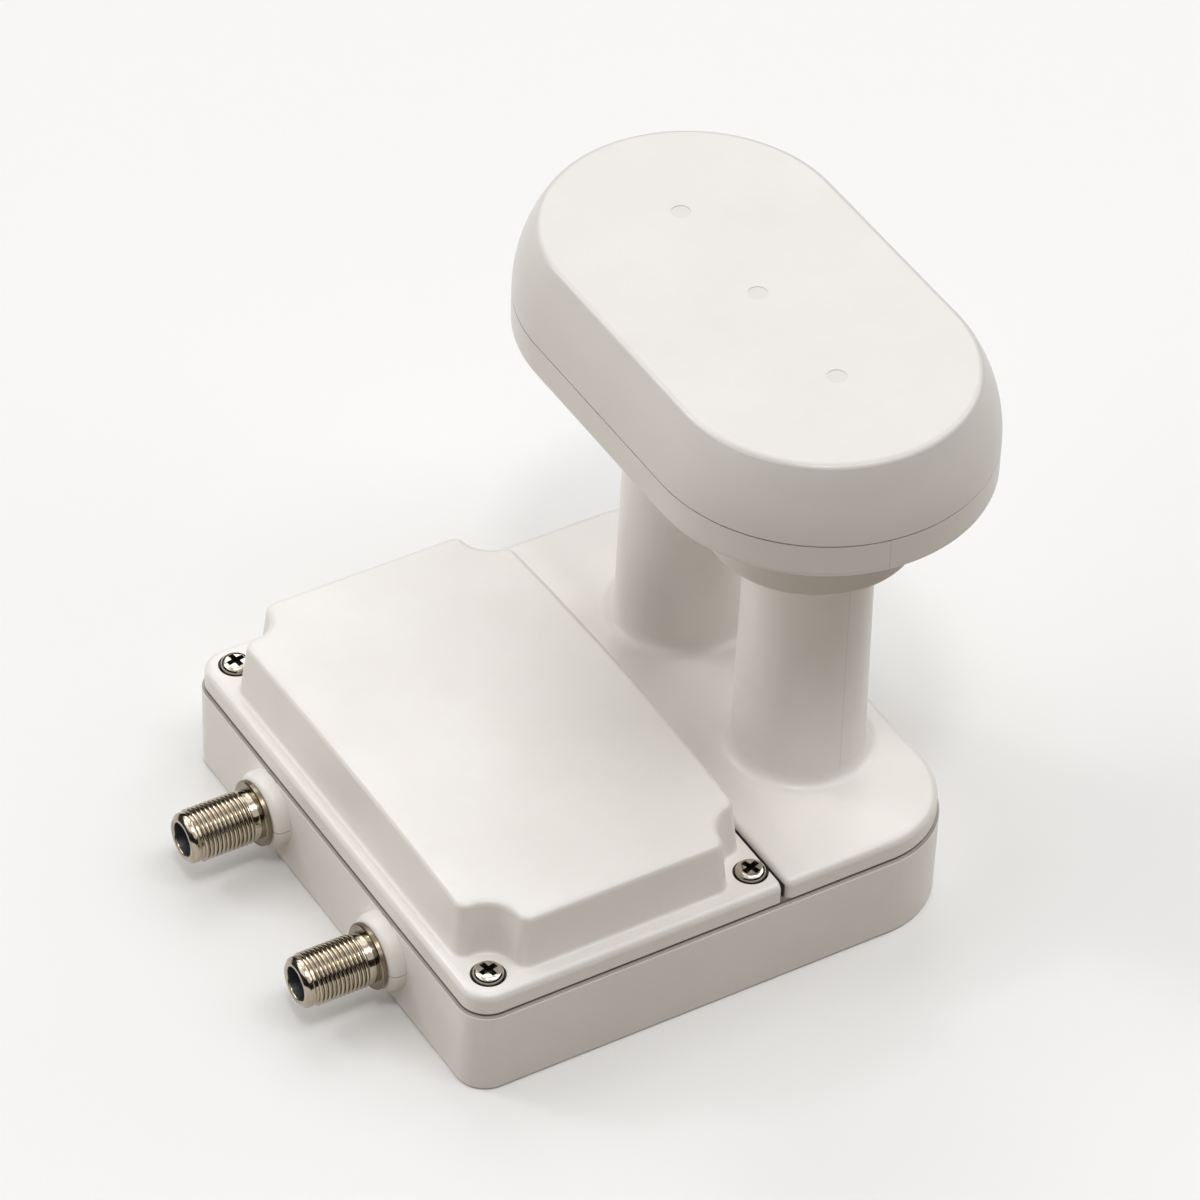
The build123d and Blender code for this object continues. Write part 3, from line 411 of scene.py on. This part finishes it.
# The tub takes its real parting line and the painted rim shade; the lid, the rear cover and the lid
# screws take painted shade in gaps, recesses and on the heads.
tub_line_and_shade_marks = [boss_line, rim_shade]
lid_plastic = with_marks(housing_plastic, "lid_plastic", recess_shade, recess_shade_tone, painted_shade_share)
cover_plastic = with_marks(
    housing_plastic, "cover_plastic", [neck_line], parting_tone, parting_share)
lid_screw_plate = with_marks(screw_plate, "lid_screw_plate", head_side_shade, head_side_shade_tone, head_side_shade_share)
node_finish.update({
    "base_tub": with_marks(housing_plastic, "tub_plastic", tub_line_and_shade_marks, tub_line_and_shade_tone, tub_line_and_shade_share),
    "front_lid": with_marks(
        lid_plastic, "front_lid_plastic", [lid_end_shade], lid_end_shade_tone, painted_shade_share),
    "rear_cover": with_marks(
        cover_plastic, "rear_cover_plastic", [cover_end_shade], cover_end_shade_tone, painted_shade_share),
    "cap_tray": with_marks(
        cap_plastic, "tray_plastic", [tray_line], parting_tone, parting_share),
    "cap_dome": with_marks(
        cap_plastic, "dome_plastic", dome_marks, dome_mark_tone, dome_mark_share),
})

for node_name, node in nodes.items():
    node.data.materials.clear()
    node.data.materials.append(node_finish.get(node_name, component_resin))


# Modelling helpers

def settle(obj, name, material, angle=30):
    """A finished piece: outward faces, smooth shading up to an angle, its place in its mesh."""
    obj.name = name
    obj.data.name = name
    bpy.context.view_layer.objects.active = obj
    obj.select_set(True)
    if bpy.context.mode != "EDIT_MESH":
        bpy.ops.object.mode_set(mode="EDIT")
    bpy.ops.mesh.select_all(action="SELECT")
    bpy.ops.mesh.normals_make_consistent(inside=False)
    bpy.ops.object.mode_set(mode="OBJECT")
    bpy.ops.object.transform_apply(location=True, rotation=True, scale=True)
    bpy.ops.object.shade_smooth_by_angle(angle=math.radians(angle))
    if material is not None:
        obj.data.materials.clear()
        obj.data.materials.append(material)
    obj.select_set(False)
    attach(obj, "root")
    return obj


def turned(profile, origin, axis="X", segments=72):
    """A body turned round an axis through origin, from a closed loop of (along, radius) in mm."""
    (first, radius), rest = profile[0], profile[1:]
    along = Vector((1, 0, 0)) if axis == "X" else Vector((0, 0, 1))
    turn = (0, math.pi / 2, 0) if axis == "X" else (0, 0, 0)
    bpy.ops.object.select_all(action="DESELECT")
    bpy.ops.mesh.primitive_circle_add(
        vertices=segments, radius=radius * MM, fill_type="NOTHING",
        location=Vector(origin) + along * first * MM, rotation=turn,
    )
    obj = bpy.context.object
    bpy.ops.object.transform_apply(location=True, rotation=True, scale=True)
    bpy.ops.object.mode_set(mode="EDIT")
    bpy.ops.mesh.select_all(action="SELECT")
    place, size = first, radius
    for step, radius in rest:
        move = {"value": along * (step - place) * MM}
        bpy.ops.mesh.extrude_region_move(TRANSFORM_OT_translate=move)
        ratio = radius / size
        scale = (1, ratio, ratio) if axis == "X" else (ratio, ratio, 1)
        bpy.ops.transform.resize(value=scale, center_override=Vector(origin) + along * step * MM)
        place, size = step, radius
    bpy.ops.mesh.select_all(action="SELECT")
    bpy.ops.mesh.region_to_loop()
    bpy.ops.mesh.bridge_edge_loops()
    bpy.ops.mesh.select_all(action="DESELECT")
    bpy.ops.object.mode_set(mode="OBJECT")
    return obj


# Threaded coaxial connectors

connector_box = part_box("f_connector_near")
mouth_x = connector_box[0].x
connector_run = (connector_box[1].x - mouth_x) / MM
barrel_run = (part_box("connector_washer_near")[0].x - mouth_x) / MM
connector_y = 19.85 * MM
bore_radius = 3.06 * MM
bore_start = 0.2 * MM
thread_start = 2.0 * MM
thread_pitch = 0.794 * MM
thread_turns = 12
thread_steps = 64
thread_profile_sides = 12
thread_profile_radius = 0.5 * MM
thread_profile_squeeze = 0.62
thread_centre = 4.26 * MM
connector_outline = [
    (0.0, 3.22), (0.0, 3.75), (0.1, 3.86), (0.62, 4.4), (0.78, 4.48), (1.5, 4.5), (1.64, 4.42),
    (1.74, 4.3), (11.7, 4.3), (11.82, 4.44), (11.9, 4.5), (barrel_run, 4.5), (barrel_run, 3.9),
    (connector_run, 3.9), (connector_run, 1.3), (connector_run - 2.6, 1.3),
    (connector_run - 2.6, 3.0), (0.25, 3.0), (0.08, 3.08),
]


def threaded_connector(name, y, node_name):
    """A turned body with a raised thread, joined, and its bore in a near-black material that is
    painted shade.
    """
    origin = (mouth_x, y, port_z)
    body = turned(connector_outline, origin)
    bpy.ops.object.select_all(action="DESELECT")
    bpy.ops.mesh.primitive_circle_add(
        vertices=thread_profile_sides, radius=thread_profile_radius, fill_type="NOTHING",
        location=(0, 0, -thread_centre), rotation=(math.pi / 2, 0, 0),
    )
    thread = bpy.context.object
    thread.scale = (thread_profile_squeeze, 1.0, 1.0)
    bpy.ops.object.transform_apply(location=True, rotation=True, scale=True)
    screw = thread.modifiers.new("thread", "SCREW")
    screw.axis = "X"
    screw.angle = 2 * math.pi
    screw.screw_offset = thread_pitch
    screw.iterations = thread_turns
    screw.steps = thread_steps
    screw.render_steps = thread_steps
    screw.use_merge_vertices = False
    bpy.ops.object.modifier_apply(modifier="thread")
    bpy.ops.object.mode_set(mode="EDIT")
    bpy.ops.mesh.select_all(action="SELECT")
    bpy.ops.mesh.region_to_loop()
    bpy.ops.mesh.edge_face_add()
    bpy.ops.object.mode_set(mode="OBJECT")
    thread.location = (mouth_x + thread_start, y, port_z)
    bpy.ops.object.transform_apply(location=True, rotation=True, scale=True)
    body.select_set(True)
    thread.select_set(True)
    bpy.context.view_layer.objects.active = body
    bpy.ops.object.join()
    settle(body, name, nickel_plate, 38)
    # Faces inside the bore take the near-black painted shade.
    body.data.materials.append(bore_painted_shade)
    for face in body.data.polygons:
        reach = math.hypot(face.center.y - y, face.center.z - port_z)
        if reach < bore_radius and face.center.x > mouth_x + bore_start:
            face.material_index = 1
    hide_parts(node_name)
    return body


threaded_connector("threaded_connector_near", -connector_y, "f_connector_near")
threaded_connector("threaded_connector_far", connector_y, "f_connector_far")


# Lid screws with a cross recess

head_height = 2.1 * MM
screw_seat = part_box("lid_screws")[1].z - head_height
recess_size = (3.6 * MM, 1.12 * MM, 1.5 * MM)
recess_middle_z = 1.6 * MM
recess_taper = 0.62
recess_corner = 0.2 * MM
screw_outline = [
    (2.08, 0.02), (2.07, 1.2), (2.03, 1.75), (1.93, 2.08), (1.76, 2.32), (1.54, 2.50),
    (1.26, 2.63), (0.7, 2.74), (0.0, 2.80), (0.0, 1.45), (-9.5, 1.4), (-10.9, 0.6), (-10.9, 0.02),
]


def cross_screw():
    """Domed head with a cross recess on a plain shank, at the world's middle."""
    head = turned(screw_outline, (0, 0, 0), "Z", 64)
    head.data.materials.append(lid_screw_plate)
    head.data.materials.append(recess_painted_shade)
    for turn in (0, math.pi / 2):
        bpy.ops.object.select_all(action="DESELECT")
        bpy.ops.mesh.primitive_cube_add(size=1, location=(0, 0, recess_middle_z))
        cutter = bpy.context.object
        cutter.scale = recess_size
        cutter.rotation_euler = (0, 0, turn)
        bpy.ops.object.transform_apply(location=True, rotation=True, scale=True)
        bpy.ops.object.mode_set(mode="EDIT")
        mesh = bmesh.from_edit_mesh(cutter.data)
        for face in mesh.faces:
            face.select = face.normal.z < -0.5
        bmesh.update_edit_mesh(cutter.data)
        bpy.ops.transform.resize(value=(recess_taper, recess_taper, 1), center_override=(0, 0, 0))
        bpy.ops.mesh.select_all(action="DESELECT")
        mesh = bmesh.from_edit_mesh(cutter.data)
        for edge in mesh.edges:
            edge.select = abs(edge.verts[0].co.z - edge.verts[1].co.z) > 0.5 * MM
        bmesh.update_edit_mesh(cutter.data)
        bpy.ops.mesh.bevel(offset=recess_corner, segments=3)
        bpy.ops.object.mode_set(mode="OBJECT")
        # The cutter's near-black material passes to the recess faces as painted shade.
        cutter.data.materials.append(recess_painted_shade)
        cut = head.modifiers.new("recess", "BOOLEAN")
        cut.material_mode = "TRANSFER"
        cut.operation = "DIFFERENCE"
        cut.solver = "EXACT"
        cut.object = cutter
        bpy.context.view_layer.objects.active = head
        bpy.ops.object.modifier_apply(modifier="recess")
        bpy.data.objects.remove(cutter)
    return head


first_screw = cross_screw()
screw_turn = {
    ("front", "near"): 12, ("front", "far"): 8, ("joint", "near"): 20, ("joint", "far"): 50,
}
for x, end in zip(screw_x, ("front", "joint")):
    for y, side in zip(screw_y, ("near", "far")):
        piece = first_screw.copy()
        piece.data = first_screw.data.copy()
        bpy.context.collection.objects.link(piece)
        bpy.ops.object.select_all(action="DESELECT")
        piece.location = (x, y, screw_seat)
        piece.rotation_euler = (0, 0, math.radians(screw_turn[end, side]))
        settle(piece, f"cross_screw_{end}_{side}", None, 35)
        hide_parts("lid_screws")
bpy.data.objects.remove(first_screw)


# Floor, world and lights

def seen_directly(tree):
    """1 for rays from the camera, a reflection or a clear piece, and 0 for rays that light."""
    path = put(tree, "ShaderNodeLightPath").outputs
    seen = sums(tree, "MAXIMUM", path["Is Camera Ray"], path["Is Glossy Ray"])
    return sums(tree, "MAXIMUM", seen, path["Is Transmission Ray"])


bpy.ops.object.select_all(action="DESELECT")
floor_drop = 0.05 * MM
bpy.ops.mesh.primitive_plane_add(size=8, location=(0, 0, -floor_drop))
floor = bpy.context.object
floor.name = "studio_floor"
floor_material, floor_tree, floor_surface = finish_material(
    "studio_floor", Roughness=1.0, Specular_IOR_Level=0.0)
bounce_tone, floor_tone = (0.45, 0.395, 0.335), (0.885, 0.877, 0.865)
floor_colour = two_tone(floor_tree, seen_directly(floor_tree), bounce_tone, floor_tone)
floor_tree.links.new(floor_colour, floor_surface.inputs["Base Color"])
floor.data.materials.append(floor_material)

# A dark surround that only shows in metal, as flags round a table do in a studio
bpy.ops.object.select_all(action="DESELECT")
surround_height = 0.85
surround_radius = 1.5
bpy.ops.mesh.primitive_cylinder_add(
    vertices=96, radius=surround_radius, depth=surround_height, end_fill_type="NOTHING",
    location=(0, 0, surround_height / 2))
surround = bpy.context.object
surround.name = "studio_surround"
surround.visible_camera = False
surround.visible_diffuse = False
surround.visible_shadow = False
surround.visible_transmission = False
surround_material = finish_material(
    "studio_surround", Roughness=1.0, Base_Color=(0.012, 0.011, 0.01, 1.0))[0]
surround.data.materials.append(surround_material)

world = bpy.data.worlds.new("studio")
bpy.context.scene.world = world
world.use_nodes = True
sky = world.node_tree
sky_light = sky.nodes["Background"]
sky_light.inputs["Color"].default_value = (1.0, 0.985, 0.96, 1.0)
sky_light.inputs["Strength"].default_value = 0.02
sky_seen = put(sky, "ShaderNodeBackground", {"Color": (0.93, 0.922, 0.91, 1.0), "Strength": 1.0})
sky_links = {0: seen_directly(sky), 1: sky_light.outputs[0], 2: sky_seen.outputs[0]}
sky_mix = put(sky, "ShaderNodeMixShader", sky_links)
sky.links.new(sky_mix.outputs[0], sky.nodes["World Output"].inputs["Surface"])


def soft_sun(name, strength, spread_angle, tilt, azimuth):
    """A distant soft light that leans by tilt from overhead, towards an azimuth from +X."""
    data = bpy.data.lights.new(name, "SUN")
    data.energy = strength
    data.angle = math.radians(spread_angle)
    light = bpy.data.objects.new(name, data)
    bpy.context.collection.objects.link(light)
    lean, turn = math.radians(tilt), math.radians(azimuth)
    aside = math.sin(lean)
    source = Vector((aside * math.cos(turn), aside * math.sin(turn), math.cos(lean)))
    light.rotation_euler = source.to_track_quat("Z", "Y").to_euler()


# Strength on a face turned to it, spread, tilt and azimuth of each large soft source
for name, level, spread_angle, tilt, azimuth in (
    ("front_left", 0.11, 24, 22, 240),
    ("front_left_edge", 0.12, 7, 24, 240),
    ("front_right", 0.167, 24, 22, 300),
    ("overhead_back", 0.10, 36, 22, 90),
    ("right", 0.20, 34, 44, 5),
    ("back_right", 0.16, 34, 44, 62),
    ("back_left", 0.165, 34, 46, 137),
    ("back_left_edge", 0.07, 7, 53, 130),
    ("left", 0.065, 34, 56, 175),
    ("near_right", 0.122, 34, 44, 315),
    ("low_back", 0.19, 30, 82, 120),
    ("low_left", 0.09, 30, 82, 180),
):
    soft_sun(name, level * math.pi, spread_angle, tilt, azimuth)
